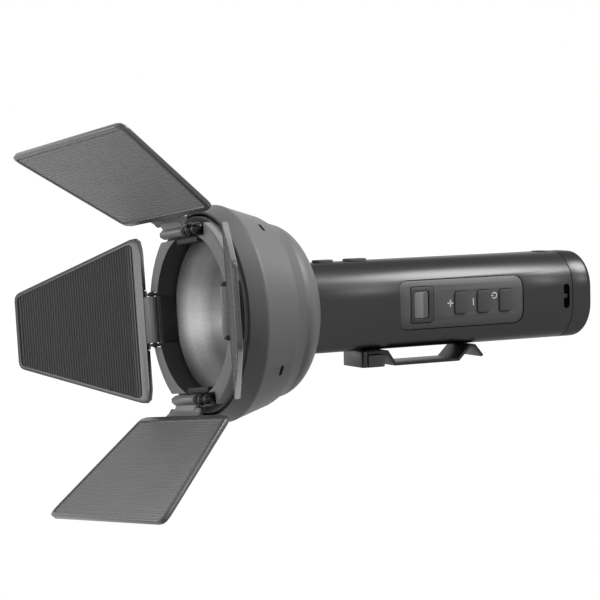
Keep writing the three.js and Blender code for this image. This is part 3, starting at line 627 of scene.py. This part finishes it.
for door in DOORS:
    hinge_pin = piece(pin(door), "ring", f"hinge_pin_{door}")
    if door not in KNOBBED:
        dress(hinge_pin, "dark")
    piece(from_node(f"hinge_base_{door}", HINGE_EDGE), "ring", f"hinge_base_{door}")
    piece(from_node(f"door_bracket_{door}", BRACKET_EDGE), f"door_{door}", f"door_bracket_{door}")
    door_panel(door)

# Handle
TAIL_LIP_AT, TAIL_LIP, TAIL_SEAM = 170.7, 2.9, 177.0
TAIL_SEAM_EDGE, TAIL_SEAM_STEP = 0.2, 0.05
TAIL_END, TAIL_ROUND, TAIL_STEPS, TAIL_SHARP = 187.9, 3.2, 10, 30
EDGE_STEPS = 3
HANDLE_EDGES = {"handle_tube": 0.2, "control_panel": 0.2, "display_bezel": 0.2, "display_window": 0.15,
                "port_cover": 0.35, "clip_block": 0.3, "clip_screw": 0.2}
OWN_LOOKS = {"display_bezel": "bezel", "clip_block": "block"}
BUTTON_EDGE, TOP_BUTTON_EDGE, STRIP_EDGE, STRIP_FLAT = 0.3, 0.45, 0.2, 0.5


def tail_cap():
    """The lip that enters the tube, the seam's small edge and the rounded end."""
    rows = [(TAIL_LIP, TAIL_LIP_AT), (TAIL_LIP, TAIL_SEAM), (TAIL_SEAM_EDGE, TAIL_SEAM),
            (TAIL_SEAM_STEP, TAIL_SEAM + TAIL_SEAM_STEP), (0, TAIL_SEAM + TAIL_SEAM_EDGE)]
    rows += [(TAIL_ROUND * (1 - math.cos(a)), TAIL_END - TAIL_ROUND * (1 - math.sin(a)))
             for a in (math.pi / 2 * k / TAIL_STEPS for k in range(TAIL_STEPS + 1))]
    obj = loft("fine_tail_cap", [[along_y(a, b, station) for a, b in handle_section(inset)]
                                 for inset, station in rows])
    smooth(obj, TAIL_SHARP)
    piece(obj, "body", "tail_cap")


tail_cap()
for node, width in HANDLE_EDGES.items():
    obj = piece(from_node(node, width, EDGE_STEPS), "body", node)
    if node in OWN_LOOKS:
        dress(obj, OWN_LOOKS[node])
for button in ("plus", "minus", "mode"):
    piece(from_node(f"button_{button}", BUTTON_EDGE, EDGE_STEPS), f"button_{button}", f"button_{button}")
for button in ("front", "rear"):
    piece(from_node(f"top_button_{button}", TOP_BUTTON_EDGE, EDGE_STEPS), f"top_button_{button}",
          f"top_button_{button}")
piece(from_node("clip_strip", STRIP_EDGE, flat=STRIP_FLAT), "clip", "clip_strip")

# Marks beside the buttons: plus, minus and power
PANEL_FACE, MARK_SINK, MARK_PROUD = 18.7, 0.02, 0.03
PLUS_AT, MINUS_AT, POWER_AT, POWER_UP = 113.6, 125.2, 135.9, 2.2
STROKE_HALF, STROKE_REACH, STROKE_CORNER, MARK_STEPS = 0.25, 1.5, 0.1, 2
POWER_OUTER, POWER_INNER, POWER_OPEN, POWER_CLOSE, POWER_STEPS = 1.4, 1.0, 220, 500, 28
POWER_BAR_HALF, POWER_BAR_FROM, POWER_BAR_TO = 0.2, -1.7, -0.4


def mark(name, outline):
    piece(prism(name, outline, PANEL_FACE - MARK_SINK, PANEL_FACE + MARK_PROUD, along_x), "body", look="mark")


def stroke(name, station, half_length, half_height):
    mark(name, rounded(station - half_length, -half_height, station + half_length, half_height, STROKE_CORNER,
                       MARK_STEPS))


stroke("plus_bar", PLUS_AT, STROKE_REACH, STROKE_HALF)
stroke("plus_post", PLUS_AT, STROKE_HALF, STROKE_REACH)
stroke("minus_post", MINUS_AT, STROKE_HALF, STROKE_REACH)
mark("power_ring", arc(POWER_AT, POWER_UP, POWER_OUTER, POWER_OPEN, POWER_CLOSE, POWER_STEPS)
     + arc(POWER_AT, POWER_UP, POWER_INNER, POWER_CLOSE, POWER_OPEN, POWER_STEPS))
mark("power_bar", rounded(POWER_AT + POWER_BAR_FROM, POWER_UP - POWER_BAR_HALF, POWER_AT + POWER_BAR_TO,
                          POWER_UP + POWER_BAR_HALF, STROKE_CORNER, MARK_STEPS))

# Studio, in metres. What a background ray sees is white; what lights the object is set apart from it.
FLOOR_HALF, FLOOR_DROP, FLOOR_ROUGHNESS = 6, 0.12, 0.9
FLOOR_LIT, FLOOR_SEEN = 0.15, 0.85
FLOOR_GLOW = 1.06
GLOW_SHARE, GLOW_DISTANCE = (0.88, 1.0), (0.5, 1.4)
WORLD_LIT, WORLD_SEEN = 0.05, 1.0
WHOLE = (0.0, 1.0)


def combined(tree, operation, one, two):
    node = tree.nodes.new("ShaderNodeMath")
    node.operation = operation
    tree.links.new(one, node.inputs[0])
    tree.links.new(two, node.inputs[1])
    return node.outputs["Value"]


def seen_ray(tree):
    """1 for a ray that shows the background: straight, in a reflection or through glass."""
    path = tree.nodes.new("ShaderNodeLightPath")
    seen = combined(tree, "MAXIMUM", path.outputs["Is Camera Ray"], path.outputs["Is Glossy Ray"])
    return combined(tree, "MAXIMUM", seen, path.outputs["Is Transmission Ray"])


def studio_floor():
    """White paper whose own light takes over with distance, so that it runs into the white world."""
    bm = bmesh.new()
    bmesh.ops.create_grid(bm, x_segments=1, y_segments=1, size=FLOOR_HALF)
    obj = link("floor", bm)
    obj.location.z = cad_box[0][2] - FLOOR_DROP
    graph = Graph("floor_paper")
    seen = seen_ray(graph.material.node_tree)
    graph.feed("Base Color", graph.map_range(seen, FLOOR_LIT, FLOOR_SEEN, WHOLE))
    graph.set("Roughness", FLOOR_ROUGHNESS)
    graph.set("Specular IOR Level", 0.0)
    emission = graph.nodes.new("ShaderNodeEmission")
    emission.inputs["Strength"].default_value = FLOOR_GLOW
    distance = graph.nodes.new("ShaderNodeVectorMath")
    distance.operation = "LENGTH"
    graph.links.new(graph.coords, distance.inputs[0])
    share = graph.map_range(distance.outputs["Value"], *GLOW_SHARE, GLOW_DISTANCE)
    mix = graph.nodes.new("ShaderNodeMixShader")
    graph.links.new(combined(graph.material.node_tree, "MULTIPLY", seen, share), mix.inputs["Fac"])
    graph.links.new(graph.shader.outputs["BSDF"], mix.inputs[1])
    graph.links.new(emission.outputs["Emission"], mix.inputs[2])
    graph.links.new(mix.outputs["Shader"], graph.nodes["Material Output"].inputs["Surface"])
    obj.data.materials.append(graph.material)


def world():
    sky = bpy.data.worlds.new("studio")
    bpy.context.scene.world = sky
    sky.use_nodes = True
    tree = sky.node_tree
    background = tree.nodes["Background"]
    background.inputs["Color"].default_value = (1, 1, 1, 1)
    strength = tree.nodes.new("ShaderNodeMapRange")
    strength.inputs["To Min"].default_value = WORLD_LIT
    strength.inputs["To Max"].default_value = WORLD_SEEN
    tree.links.new(seen_ray(tree), strength.inputs["Value"])
    tree.links.new(strength.outputs["Result"], background.inputs["Strength"])


def toward(azimuth, elevation):
    """Direction at an azimuth from the light's front toward its panel side, and an elevation."""
    a, e = math.radians(azimuth), math.radians(elevation)
    return Vector((math.sin(a) * math.cos(e), -math.cos(a) * math.cos(e), math.sin(e)))


# Lamps: name, azimuth, elevation, distance, width and height in metres, watts
LAMPS_AIM = Vector((0, -0.12, 0))
LAMPS = (
    ("key", 149, 46.5, 1.34, (0.58, 0.58), 18.5),
    ("top", 100, 75, 1.3, (0.6, 0.6), 4),
    ("side_back", 127.9, 19.3, 1.355, (0.3, 0.3), 1.6),
    ("near_camera", 60, 4, 1.3, (0.5, 1.2), 1.2),
    ("front", -5, -3, 1.3, (0.4, 0.5), 3.3),
    ("left", -50, 8, 1.3, (0.4, 0.5), 2.6),
    ("glint", 40, 18, 1.3, (0.07, 0.07), 2.4),
)


def lamp(name, azimuth, elevation, distance, size, watts):
    light = bpy.data.lights.new(name, "AREA")
    light.shape = "RECTANGLE"
    light.size, light.size_y = size
    light.energy = watts
    obj = bpy.data.objects.new(name, light)
    bpy.context.scene.collection.objects.link(obj)
    out = toward(azimuth, elevation)
    obj.location = LAMPS_AIM + out * distance
    obj.rotation_euler = out.to_track_quat("Z", "Y").to_euler()


studio_floor()
world()
for row in LAMPS:
    lamp(*row)

# Camera: its direction and place, and the focal length in pixels of the 600-pixel picture
CAMERA_AZIMUTH, CAMERA_ELEVATION, CAMERA_ROLL = 61.29, 4.06, -1.18
CAMERA_X, CAMERA_STATION, CAMERA_Z = 869.0, -425.17, 73.98
FOCAL_PIXELS, PICTURE_WIDTH = 2364.8, 600
SENSOR_WIDTH, CAMERA_REACH = 36, 50


def camera():
    back = toward(CAMERA_AZIMUTH, CAMERA_ELEVATION)
    azimuth, roll = math.radians(CAMERA_AZIMUTH), math.radians(CAMERA_ROLL)
    level = Vector((math.cos(azimuth), math.sin(azimuth), 0))
    upright = back.cross(level)
    right = math.cos(roll) * level + math.sin(roll) * upright
    up = -math.sin(roll) * level + math.cos(roll) * upright
    data = bpy.data.cameras.new("camera")
    data.sensor_width = SENSOR_WIDTH
    data.lens = SENSOR_WIDTH * FOCAL_PIXELS / PICTURE_WIDTH
    data.clip_end = CAMERA_REACH
    obj = bpy.data.objects.new("camera", data)
    bpy.context.scene.collection.objects.link(obj)
    place = Matrix((right, up, back)).transposed().to_4x4()
    place.translation = Vector(along_y(CAMERA_X, CAMERA_Z, CAMERA_STATION))
    obj.matrix_world = place
    bpy.context.scene.camera = obj


camera()
bpy.context.scene.view_settings.view_transform = "Standard"
